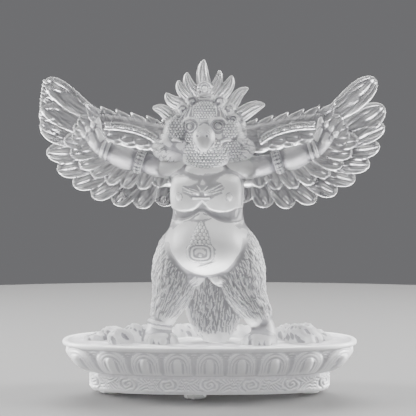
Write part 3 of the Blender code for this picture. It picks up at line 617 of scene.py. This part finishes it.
def figure_carving(points):
    x, y, z = points.T
    front = np.clip(-(y + 4) / 6, 0, 1)
    belly = np.hypot((x + 1.5) / 41, (z - 105) / 40)
    below = np.where(y < 4, np.clip((belly - 1) / 0.08, 0, 1), 1) * np.clip((112 - z) / 6, 0, 1)
    height = np.zeros(len(x))
    near_tail = np.hypot((x - 5) / 27, (y - np.interp(z, [0, 34, 56, 80], [-5, 4, 12, 16])) / 12)
    for side in SIDES:
        reach, round_it = leg_place(x, y, z, side)
        on_leg = (reach < 1.35) & (side * (x - LEG_SHIFT) > 0) & (reach < near_tail + 0.35)
        flow = 112 - z + 0.35 * abs(round_it)
        spread = round_it - 0.25 * flow
        down = 0.8 * tufts(spread, flow, 7.5, 20) + 0.7 * hairs(spread, flow, 3, 13)
        height += on_leg * below * np.clip((z - 23) / 5, 0, 1) * DOWN_DEPTH * (down - 0.75)
    tail = (near_tail < 1.25) & (z < 66) & (abs(x - 5) < 30)
    for side in SIDES:
        tail &= leg_place(x, y, z, side)[0] > 1.02
    edge = np.clip((1 - abs(x - np.interp(z, [3, 56], [7.5, 4.5])) / np.interp(
        z, [3, 11, 23, 34, 45, 56], [14, 20.5, 26.5, 28.5, 26, 19.5])) / 0.14, 0, 1)
    down = 0.7 * tufts((x - 6) * 1.1, 70 - z, 7.5, 22) + 0.7 * hairs(x + 0.08 * z, 70 - z, 3.1, 15)
    height += tail * edge * np.clip((z - 6) / 4, 0, 1) * DOWN_DEPTH * 0.8 * (down - 0.7)
    height += tail * 1.1 * (z > 2) * (1 - edge)
    breast_edge = np.interp(x, *BREAST_EDGE.T)
    belly_edge = np.interp(x, *BELLY_EDGE.T)
    fold = np.clip((breast_edge - z) / 1.4 + 0.5, 0, 1) * np.clip((z - belly_edge) / 1.4 + 0.5, 0, 1)
    height -= FOLD_DEPTH * fold * np.clip(-(y + 2) / 15, 0, 1) * np.clip((38 - abs(x + 2)) / 7, 0, 1)
    above = z - breast_edge
    for side in SIDES:
        muscle = 1 - ((x - 18 * side + 2) / 24) ** 2 - (above / 22 - 0.75) ** 2
        height += 1.6 * front * np.clip(muscle, 0, 1) * (above > 0)
    spikes = [
        (24, 21, 3), (166, 20, -3), (10, 22, 4), (172, 19, -4), (-6, 18, 4), (186, 17, -4), (46, 15, -3),
        (136, 14, 3), (72, 11, -2), (104, 12, 2),
    ]
    for angle, length, curl in spikes:
        turn = math.radians(angle)
        away = np.array((math.cos(turn), 0.75 * math.sin(turn)))
        aside = curl * np.array((-math.sin(turn), math.cos(turn)))
        root, bend, tip = (np.array(EMBLEM) + away * reach + aside * share
                           for reach, share in ((3.5, 0), (0.6 * length, 0.35), (length, 1)))
        height += front * (abs(z - EMBLEM[1]) < 26) * np.maximum(
            1.4 * stroke(x, z, root, bend, 1.5), 1.1 * stroke(x, z, bend, tip, 1.2))
    height += 1.3 * front * ridge(np.hypot(np.clip(abs(x + 5) - 7.5, 0, None), z - 143.3), 1.3)
    drop = np.clip((121 - z) / 22, 0, 1)
    scales = np.clip(4 * (drop**0.7 - abs(x + 5) / 11.5), 0, 1) * (z > 99) * (z < 121)
    height += 1.5 * front * beads(x + 5, z, 3.9) * scales
    stones = np.clip((21 - z) / 3, 0, 1) * ((abs(x - 2.6) > 69) | (y > 9))
    height += stones * (1.8 * swell(x, y + z, 36) - 1.4 * abs(swell(z - y, x, 29)) + 0.5)
    across, up = x - BELLY_FRAME[0], z - BELLY_FRAME[1]
    square = ((abs(across) / 12) ** 3 + (abs(up) / 8.5) ** 3) ** (1 / 3)
    studs = 0.75 + 0.25 * np.cos(20 * np.arctan2(up, across))
    frame_lines = ridge(square - 1, 0.12) * studs + 0.5 * ridge(square - 0.66, 0.12)
    height += 0.9 * front * frame_lines * (z < 104) * (z > 78)
    height += 1.3 * front * inside(x, z, (-5, 88), (2, 2), 0.6)
    height += 0.5 * front * stroke(x, z, (-8, 75.5), (8, 81), 1.2)
    for side in SIDES:
        ring = np.hypot(x - 25 * side + 2.5, z - 144)
        height += 0.4 * front * ridge(ring - 3.2, 0.7)
    return height


def carve(mesh, carving):
    """Moves each point of a mesh out along its normal by a carving's height there."""
    points, normals = read_all(mesh.vertices, "co"), read_all(mesh.vertex_normals, "vector")
    mesh.vertices.foreach_set("co", (points + normals * carving(points)[:, None]).ravel())
    mesh.update()


def cast(name, shapes, voxel, most_triangles, material, carving=None, floor=None):
    """Fuses shapes, carves them, cuts them flat at a floor, thins them and puts them on the base."""
    mesh = fuse(shapes, voxel, 1)
    if carving:
        carve(mesh, carving)
    body = bmesh.new()
    body.from_mesh(mesh)
    if floor is not None:
        cut = bmesh.ops.bisect_plane(body, geom=body.verts[:] + body.edges[:] + body.faces[:],
                                     plane_co=(0, 0, floor), plane_no=(0, 0, -1), clear_outer=True)
        bmesh.ops.holes_fill(body, edges=[e for e in cut["geom_cut"] if isinstance(e, bmesh.types.BMEdge)])
    place = (Matrix.Translation((FIGURE_SHIFT, 0, GROUND_HEIGHT)) @ Matrix.Scale(UNIT, 4)
             @ Matrix.Rotation(FIGURE_TURN, 4, "Z"))
    bmesh.ops.transform(body, matrix=place, verts=body.verts)
    body.to_mesh(mesh)
    body.free()
    triangles = sum(len(face.vertices) - 2 for face in mesh.polygons)
    if triangles > most_triangles:
        mesh = modify(mesh, ("DECIMATE", {"ratio": most_triangles / triangles}))
    mesh.name = name
    put_in_place(name, mesh, material)


satin_glass = glass("satin_glass", SATIN_COLOUR, groove_shade=0.6, roughness=0.52, transmission=0.96,
                    grain=0.00003, grain_size=0.0004)
cast("garuda_figure", figure, FIGURE_VOXEL, BODY_TRIANGLES, satin_glass, figure_carving,
     -FIGURE_SINK / UNIT)

# Head and crown, in the figure's units. A beaked face with hollowed round eyes under fine brows, a scaly
# throat that ends in a hard edge, and a jewelled band with curls, satin like the body and more finely
# carved. The nine fluted flames of the crown are thin, and clear like the wings.
SKULL_VOXEL = 1
SKULL_SOFTENING = 40
HEAD_VOXEL = 0.46
HEAD_TRIANGLES = 160000
CROWN_TRIANGLES = 50000
FACE_X = HEAD_X + 2.7
EYE_OUT = 13.6
EYE_UP = 213.5
PUPIL_DEPTH = 6.2
BEAD_HEIGHT = 1.7
CLEAR_COLOUR = (0.8, 0.79, 0.82, 1)

skull = []
add_ball(skull, (HEAD_X, -9, 214), (27, 24, 28))
add_ball(skull, (HEAD_X + 1, 0, 208), (42, 15, 34))
add_ball(skull, (FACE_X, -20, 230), (15, 12, 10.5))
for side in SIDES:
    add_ball(skull, (HEAD_X + 29 * side, -15, 200), (14, 14, 12))
    add_ball(skull, (HEAD_X + 18 * side, -20, 200), (13, 12, 12))
    add_ball(skull, (HEAD_X + 26 * side, -17, 209), (13, 14, 14), (0, 0, 14 * side))
    add_ball(skull, (HEAD_X + 33 * side, -10, 190), (19, 15, 13), (0, -12 * side, 12 * side))
head = [shape_of(fuse(skull, SKULL_VOXEL, SKULL_SOFTENING))]
for side in SIDES:
    eye = np.array((FACE_X + EYE_OUT * side, -30, EYE_UP))
    add_ball(head, eye, (4.2, 6.2, 4.2))
    turns = np.radians(np.linspace(0, 360, 25))
    lid = [eye + (5 * math.cos(t), -1.4 + 0.7 * side * math.cos(t), 4.7 * math.sin(t)) for t in turns]
    add_limb(head, [(*place, 0.55, 0.7) for place in lid], 1, 10, (0, 1, 0))
    add_limb(head, [
        (FACE_X + 4 * side, -36, 217.5, 1.2, 1.2), (FACE_X + 11 * side, -36.5, 221, 1.3, 1.3),
        (FACE_X + 18 * side, -33, 220.5, 1.3, 1.3), (FACE_X + 23 * side, -27, 215, 0.9, 0.9),
    ], 5, 14)
    add_limb(head, [
        (HEAD_X + 19 * side, -32, 198.5, 1.2, 1.2), (HEAD_X + 25 * side, -31, 200.5, 1.5, 1.5),
        (HEAD_X + 31 * side, -26, 199, 1.2, 1.2),
    ], 5, 12, (0, 1, 0))
add_limb(head, [(FACE_X - 6, -34, 215.5, 1.3, 1.3), (FACE_X - 2.5, -36, 218, 1.4, 1.4),
                (FACE_X + 2.5, -36, 218, 1.4, 1.4), (FACE_X + 6, -34, 215.5, 1.3, 1.3)], 5, 14, (0, 1, 0))
for sections, count in (
    ([(1, -31, 215, 1.6, 2), (1, -35.5, 212, 4.6, 4.6), (1, -40.5, 208, 8, 7.4), (1, -45, 204, 10.8, 9),
      (1, -48, 200, 10.2, 8.6), (1, -50, 196, 8.2, 7), (1, -51, 192, 5.6, 5.2), (1, -50.5, 188.5, 2.4, 2.6)],
     32),
    ([(0, -26, 196, 11, 5), (0, -38, 193.5, 9, 4.4), (0, -47, 190.5, 4, 2.6)], 24),
    ([(0, -24, 199, 14, 11), (0.5, -25, 192, 18, 13.5), (1, -24.5, 185, 21.5, 14),
      (1, -23.5, 180, 22.5, 13), (1, -22.5, 177, 19, 10), (1, -21.5, 175, 9, 6)], 36),
):
    add_limb(head, [(FACE_X + x, *rest) for x, *rest in sections], 6, count, power=2.2)


def add_flame(shapes, root, tip, lean, half_width, half_thickness):
    """Adds one leaf-shaped flame from its root to its tip, bowed sideways by lean, with grooves along it."""
    root, tip = np.array(root, float), np.array(tip, float)
    ahead = (tip - root) / np.linalg.norm(tip - root)
    across = np.array((ahead[2], 0, -ahead[0]))
    shares = np.array([0, 0.1, 0.2, 0.3, 0.4, 0.49, 0.58, 0.66, 0.73, 0.79, 0.85, 0.9, 0.94, 0.97, 0.99, 1])
    path = root + np.outer(shares, tip - root) + np.outer(lean * np.sin(math.tau * shares), across)
    body = np.interp(shares, [0, 0.2, 0.4, 0.58, 0.73, 0.85, 0.93, 0.98, 1],
                     [0.85, 0.92, 1, 0.96, 0.84, 0.65, 0.44, 0.24, 0.07])
    add_lock(shapes, path, across, half_width * body, half_thickness * np.maximum(0.25, body), 40, flutes=4)


flames = [
    (0, 68.4, 7.2, 1.4), (-16.8, 58.3, 6.2, 2), (14.9, 60, 5.6, -1.8), (-28, 54.5, 6.2, 1.8),
    (28, 59.5, 7, -1.8), (-46.9, 52.1, 6.6, 1.8), (47.9, 59.8, 6, 2), (-68.2, 55.7, 6.6, -1.8),
    (68.9, 65.3, 7.6, 1.6),
]
crown = []
middle = np.array((HEAD_X, -2, 212))
for angle, reach, half_width, lean in flames:
    turn = math.radians(angle)
    ahead = np.array((math.sin(turn), 0, math.cos(turn)))
    add_flame(crown, middle + ahead * 22, middle + ahead * reach, lean, half_width, 4.2)
for place in (-3.5, -2.5, -1.5, -0.5, 0.5, 1.5, 2.5, 3.5):
    turn = math.radians(17.6 * place)
    ahead = np.array((math.sin(turn), 0.3, math.cos(turn)))
    add_flame(head, middle + (0, 8, 0) + ahead * 12, middle + (0, 6, 0) + ahead * 41, 1, 6.5, 4.6)
for row in range(3):
    for place in (-2, -1, 0, 1, 2):
        shift = 0.5 * (row % 2)
        foot = np.array((HEAD_X + 11 * (place + shift), 14 - 1.2 * abs(place), 228 - 14 * row))
        add_flame(head, foot, foot + (2.5 * (place + shift), 5, -22), 0, 6.5, 4)
add_ball(head, (FACE_X, -17, 242), (9, 9, 5))
for up in (240.4, 243.4):
    add_limb(head, [(FACE_X + 6.8 * t, -26 + 1.2 * t * t, up, 0.9, 1.1) for t in (-1, -0.5, 0, 0.5, 1)],
             3, 12, (0, 0, 1))
add_ball(head, (FACE_X - 1, -13, 251), (3.2, 6, 3))
for radius in (6.8, 4.6):
    turns = np.radians(np.linspace(-20, 200, 15))
    arch = [(FACE_X - 1 + radius * math.cos(t), -15, 251 + radius * math.sin(t), 0.95, 1.6) for t in turns]
    add_limb(head, arch, 1, 12, (0, 0, 1))
for side in SIDES:
    for out, up, half in ((12.8, 237, 6.6), (22.5, 230, 6), (26.5, 219.5, 5.6)):
        curl = np.array((FACE_X + 1 + side * out, -23 + 0.1 * out, up))
        add_ball(head, curl, (0.9 * half, 3.4, 0.9 * half))
        spiral = [(*(curl + (side * half * (1 - t / 10.5) * math.cos(t), -3.2 - 0.12 * t,
                             half * (1 - t / 10.5) * math.sin(t))), 0.8, 1.3)
                  for t in np.linspace(0, 2.8 * math.pi, 36)]
        add_limb(head, spiral, 1, 10, (0, 1, 0.01))


def head_carving(points):
    x, y, z = points.T
    front = np.clip(-(y + 6) / 6, 0, 1)
    off_beak = front * (y > -40)
    height = 1.2 * BEAD_HEIGHT * front * (y > -48) * beads(x, z, 3.2) * inside(x, z, (-1, 187), (24, 15), 0.2)
    for centre, radii, pitch in (
        ((-30, 212), (10, 13), 2.9), ((23, 210), (9, 10), 2.9), ((25, 190), (9, 11), 3),
        ((-1.7, 228), (13, 10.5), 2.7), ((-16, 203), (6, 6), 2.8),
    ):
        height += BEAD_HEIGHT * off_beak * beads(x, z, pitch) * inside(x, z, centre, radii, 0.35)
    for side in SIDES:
        for step in range(4):
            start = (FACE_X + side * (10 + 3.2 * step), 233 - 1.5 * step)
            end = (FACE_X + side * (11.5 + 4.2 * step), 223.5 - step)
            height += 1.1 * off_beak * stroke(x, z, start, end, 1.2)
        for step in range(3):
            start = (FACE_X + 1 + side * (3.2 + step), 208 + 2.6 * step)
            end = (FACE_X + 1 + side * (7 + 1.2 * step), 204.5 + 2.6 * step)
            height += 0.6 * front * (y < -36) * stroke(x, z, start, end, 0.9)
        # Painted shade: the deep pupil hollows come out dark through the glass's painted groove shade.
        socket = np.hypot(x - FACE_X - EYE_OUT * side, z - EYE_UP)
        height -= off_beak * (ridge(socket - 6.4, 1.5) + PUPIL_DEPTH * ridge(socket, 4.4))
        height -= 1.4 * inside(x, z, (FACE_X - 0.2 + 4.6 * side, 203.6), (1.4, 1.2), 0.5) * (y < -40)
    far = np.hypot(x - HEAD_X, 1.1 * (z - 205))
    round_it = np.arctan2(x - HEAD_X, z - 205) * 42
    ruff = np.clip((far - 37) / 4, 0, 1) * (z > 172) * (z < 240) * (y < 6) * (abs(x - HEAD_X) > 18)
    locks = tufts(round_it, far, 5.5, 13) + 0.5 * hairs(round_it, far, 2.6, 9)
    return height + 1.2 * ruff * np.clip((58 - far) / 3, 0, 1) * (locks - 0.6)


cast("garuda_head", head, HEAD_VOXEL, HEAD_TRIANGLES, satin_glass, head_carving)
clear_glass = glass("clear_glass", CLEAR_COLOUR, groove_shade=0.55, roughness=0.31, transmission=0.92,
                    grain=0.00002, grain_size=0.0005)
cast("garuda_crown", crown, HEAD_VOXEL, CROWN_TRIANGLES, clear_glass)

# Wings and arms, in the figure's units. Each raised arm, satin like the body, has a beaded armlet and rings
# at the wrist, and lies along a spread wing of clearer glass. The wing is a fan of long feathers with rows
# of short ones over their roots, and a beaded band along those.
WING_BACK = 7
WING_SWEEP = 11
WING_REACH = 175
FEATHER_HALF_THICKNESS = 1.9
BARB_PITCH = 4.6
BARB_HEIGHT = 0.22
ARMLET_BEADS = 18
BAND_PITCH = 2.9
FEATHER_RINGS, FEATHER_COUNT = ((56, 44))
WING_VOXEL = 0.64
WING_TRIANGLES = 188000
ARM_TRIANGLES = 46000


def wing_depth(out):
    """How far back the wing lies, at a distance out from the figure's middle."""
    return WING_BACK + WING_SWEEP * (out / WING_REACH) ** 2


def add_feather(shapes, side, tip, direction, length, half_width, bend=0, tilt=0, lift=0, pointed=False,
                barbs=1):
    """Adds a round-ended or pointed feather in the wing's plane, with hollow vanes, a quill and thick edges.

    Tilt turns its lower edge forward, lift moves it back, barbs is how strongly its vanes are grooved.
    """
    tip = np.array(tip, float)
    end_turn, root_turn = math.radians(direction + bend), math.radians(direction - bend)
    knee = tip - length / 2 * np.array((math.cos(end_turn), math.sin(end_turn)))
    root = knee - length / 2 * np.array((math.cos(root_turn), math.sin(root_turn)))
    shares = np.sin(math.pi / 2 * np.linspace(0, 1, FEATHER_RINGS))
    flat = (np.outer((1 - shares) ** 2, root) + np.outer(2 * shares * (1 - shares), knee)
            + np.outer(shares**2, tip))
    path = np.column_stack([side * flat[:, 0], wing_depth(flat[:, 0]) + lift, flat[:, 1]])
    turn, roll = math.radians(direction), math.radians(tilt)
    down = np.array((side * math.sin(turn), 0, -math.cos(turn)))
    across = down * math.cos(roll) + np.array((0, -1, 0)) * math.sin(roll)
    blunt = np.sqrt(np.clip(1 - (np.clip(shares - 0.66, 0, None) / 0.34) ** 2, 0.004, 1))
    if pointed:
        blunt = np.maximum(0.12, 1 - (np.clip(shares - 0.4, 0, None) / 0.6) ** 1.4)
    halves = half_width * (0.6 + 0.4 * np.minimum(1, shares / 0.5)) * blunt
    c, s = round_off(math.tau * np.arange(FEATHER_COUNT) / FEATHER_COUNT, 3)
    quill = 0.75 * barbs * np.exp(-(((c - 0.05) / 0.1) ** 2)) * np.clip((0.95 - shares) / 0.2, 0, 1)[:, None]
    edge = 0.6 + 0.4 * abs(c) ** 2.6
    edge = np.maximum(edge, np.clip((shares - 0.86) / 0.1, 0, 1)[:, None])
    slant = 0.9 * shares[:, None] + 0.22 * np.sin(9 * shares[:, None] + 3 * c)
    streaks = barbs * BARB_HEIGHT * np.cos(math.tau * (abs(c - 0.05) * half_width / BARB_PITCH + slant))
    depth = FEATHER_HALF_THICKNESS * s * (edge + quill + streaks * (1 - abs(c) ** 6))
    add_swept(shapes, path, np.gradient(path, axis=0), across, halves[:, None] * c, depth)


def fan(side):
    """A wing's long feathers: place on the fan's arc in degrees, reach, half-width and direction of each."""
    if side < 0:
        broad = [
            (27, 1.03, 11, 37), (20.5, 1, 13, 34), (14, 1, 15, 31), (6, 0.995, 15, 24), (-2, 0.985, 16, 17),
        ]
        return broad + [(-22 - 13.2 * k, 1, 12, -1 - 11.6 * k) for k in range(7)]
    return [(27, 1.01, 13, 40), (8, 1, 14, 33)] + [(-5 - 13 * k, 1, 11.5, 17 - 12.2 * k) for k in range(9)]


def add_wing(shapes, side):
    rows = smooth([
        (18, 182, 26, 5.5), (40, 184, 30, 5.5), (66, 194, 26, 5), (96, 204, 21, 4.6), (118, 211, 17, 3.8),
        (132, 217, 12, 3),
    ], 5)
    add_lock(shapes, np.column_stack([side * rows[:, 0], wing_depth(rows[:, 0]), rows[:, 1]]), (0, 0, 1),
             rows[:, 2], rows[:, 3], 32, 3)
    for index, (place, reach, half_width, direction) in enumerate(fan(side)):
        turn = math.radians(place)
        tip = (70 + 105.5 * reach * math.cos(turn), 222 + 89 * reach * math.sin(turn))
        bend = 9 if place > 20 else 3
        lift = 1.4 * (index % 2)
        add_feather(shapes, side, tip, direction, 66 - 0.0023 * (27 - place) ** 2, half_width, bend, 11, lift)
    for k in range(14 if side < 0 else 0):
        tip = (174.5 - 0.06 * (k - 5) ** 2, 214 + 3.7 * k)
        add_feather(shapes, side, tip, 22 + 1.5 * k, 16, 2.3, 0, 0, -0.5)
    for k in range(8):
        turn = math.radians(-12 - 13 * k)
        tip = (70 + 80 * math.cos(turn), 214 + 62 * math.sin(turn))
        direction = 14 + 0.9 * math.degrees(turn)
        for lift in (-2.8, 3):
            add_feather(shapes, side, tip, direction, 36 - 1.2 * k, 8.5, 3, 8 if lift < 0 else -8, lift)
    for k in range(6):
        add_feather(shapes, side, (48 + 15.6 * k, 222 + 3.2 * k), 50, 28, 7.5, 0, 0, -2.4 - 0.5 * k,
                    pointed=True, barbs=0.5)
    for k in range(5):
        add_feather(shapes, side, (50 + 15 * k, 206 + 2.6 * k), 6, 28, 10, 0, 6, -4.4, barbs=0.4)
        add_feather(shapes, side, (46 + 15 * k, 195 + 2.6 * k), 2, 28, 9, 0, 8, -4.8, barbs=0.4)
        add_feather(shapes, side, (48 + 15 * k, 196 + 2.6 * k), -14, 28, 9.5, 0, -6, 4.2)
    for k in range(4):
        turn = math.radians(44 - 24 * k)
        tip = (112 + 28 * math.cos(turn), 206 + 26 * math.sin(turn))
        for lift in (-3.4, 3.4):
            add_feather(shapes, side, tip, math.degrees(turn), 26, 8, 3, 6 if lift < 0 else -6, lift)


def add_arm(shapes, side):
    """Adds an arm raised along the wing, with its bands, and a hand that grips the wing."""
    sections = [
        (18, 3, 168, 5, 5), (26, 2, 169.5, 9.5, 10), (36, 0, 172, 11.5, 12.5), (54, -3, 175, 10.5, 11),
        (69, -4, 179, 9.5, 10), (84, -4, 182.5, 11.5, 11), (98, -3, 188, 9.5, 9.5), (107, -2, 192, 8, 8),
        (113, -2, 199, 8.5, 7.5), (118, -1, 206, 7.5, 6.5),
    ]
    add_limb(shapes, [(side * out, *rest) for out, *rest in sections], 6, 36, (0, 0, 1))
    for out, up, radius, half_width in ((65.5, 178, 11.4, 1), (72.5, 180, 11.4, 1), (101, 189.5, 10, 1.6),
                                        (106, 191.5, 9.4, 1.6)):
        ahead = np.array((side * 0.95, 0, 0.31))
        path = [np.array((side * out, -3.5, up)) + ahead * half_width * t for t in (-1, -0.7, 0.7, 1)]
        radii = [radius * share for share in (0.9, 1, 1, 0.9)]
        add_lock(shapes, path, (0, 0, 1), radii, radii, 32)
    ahead = Vector((side * 0.95, 0, 0.31)).normalized()
    band = np.array(ahead.to_track_quat("Z", "Y").to_matrix())
    for k in range(ARMLET_BEADS):
        turn = math.tau * k / ARMLET_BEADS
        for slide in (-1.5, 1.5):
            bead = np.array((side * 69, -3.7, 179)) + band @ (11 * math.cos(turn), 11 * math.sin(turn), slide)
            add_ball(shapes, bead, (1.6, 1.6, 1.6))
    for k in range(4):
        turn = math.radians(84 - 16 * k)
        start = np.array((side * (110 + 2.4 * k), -4, 209 - 3 * k))
        reach = np.array((side * math.cos(turn), 0.05, math.sin(turn)))
        finger = [(*start, 3.2, 3.2), (*(start + reach * 5), 3.4, 3.4), (*(start + reach * 7.5), 2.7, 2.7),
                  (*(start + reach * 10), 2.9, 2.9), (*(start + reach * 14 + (0, 3, 0)), 1.4, 1.4)]
        add_limb(shapes, finger, 4, 16, (0, 1, 0))
    add_limb(shapes, [(side * 108, -6, 197, 3.2, 3.2), (side * 108, -8, 205, 3.2, 3.2),
                      (side * 112, -8, 212, 1.8, 1.8)], 4, 16, (0, 1, 0))


def add_beaded_band(shapes, side):
    """Adds the band along the short feathers: a string of beads between two plain edges."""
    rows = smooth([(52, 200), (60, 205.5), (72, 210.5), (88, 214), (106, 215)], 24)
    length = np.concatenate([[0], np.cumsum(np.linalg.norm(np.diff(rows, axis=0), axis=1))])
    for shift in (-2.9, 2.9):
        line = [(side * out, wing_depth(out) - 7.2, up + shift, 0.8, 1.3) for out, up in rows]
        add_limb(shapes, line, 1, 10, (0, 0, 1))
    for distance in np.arange(0, length[-1], BAND_PITCH):
        out, up = np.interp(distance, length, rows[:, 0]), np.interp(distance, length, rows[:, 1])
        add_ball(shapes, (side * out, wing_depth(out) - 7.2, up), (1.5, 1.9, 1.5))


for side, name in zip(SIDES, ("left_arm", "right_arm")):
    shapes = []
    add_arm(shapes, side)
    cast(name, shapes, WING_VOXEL, ARM_TRIANGLES, satin_glass)
for side, name in zip(SIDES, ("left_wing", "right_wing")):
    shapes = []
    add_wing(shapes, side)
    add_beaded_band(shapes, side)
    cast(name, shapes, WING_VOXEL, WING_TRIANGLES, clear_glass)

# Studio. A plain pale round table in front of a plain grey wall. Large soft lamps on both sides, above
# and behind draw bright lines along the edges of the glass, and a weak one in front fills the shadows.
TABLE_RADIUS = 0.55
TABLE_THICKNESS = 0.01
TABLE_CORNERS = 96
TABLE_COLOUR = (0.09, 0.089, 0.088, 1)
WALL_COLOUR = (0.16, 0.16, 0.1664, 1)
LAMPS_AIM = Vector((0, 0, 0.08))

shapes = []
c, s = round_off(math.tau * np.arange(TABLE_CORNERS) / TABLE_CORNERS, 2)
edge = [(0.02, -TABLE_THICKNESS), (TABLE_RADIUS, -TABLE_THICKNESS), (TABLE_RADIUS, 0), (0.02, 0)]
add_skin(shapes, [np.column_stack([r * c, r * s, np.full(TABLE_CORNERS, z)]) for r, z in edge])
table = bpy.data.objects.new("table", mesh_of("table", shapes))
bpy.context.collection.objects.link(table)
pale = bpy.data.materials.new("pale_table")
pale.use_nodes = True
shader = pale.node_tree.nodes["Principled BSDF"]
shader.inputs["Base Color"].default_value = TABLE_COLOUR
shader.inputs["Roughness"].default_value = 0.7
table.data.materials.append(pale)

world = bpy.data.worlds.new("wall")
bpy.context.scene.world = world
world.use_nodes = True
world.node_tree.nodes["Background"].inputs["Color"].default_value = WALL_COLOUR

for name, place, size, power in (
    ("left_lamp", (-0.60, 0.10, 0.26), (0.25, 0.6), 28),
    ("right_lamp", (0.60, 0.10, 0.26), (0.25, 0.6), 28),
    ("top_lamp", (0, 0.05, 0.70), (0.6, 0.4), 3),
    ("back_lamp", (0, 0.60, 0.50), (0.8, 0.3), 12),
    ("front_lamp", (-0.35, -0.70, 0.60), (0.5, 0.4), 1.5),
):
    lamp = bpy.data.objects.new(name, bpy.data.lights.new(name, "AREA"))
    lamp.data.shape = "RECTANGLE"
    lamp.data.size, lamp.data.size_y = size
    lamp.data.energy = power
    lamp.location = place
    lamp.rotation_euler = (Vector(place) - LAMPS_AIM).to_track_quat("Z", "Y").to_euler()
    bpy.context.collection.objects.link(lamp)
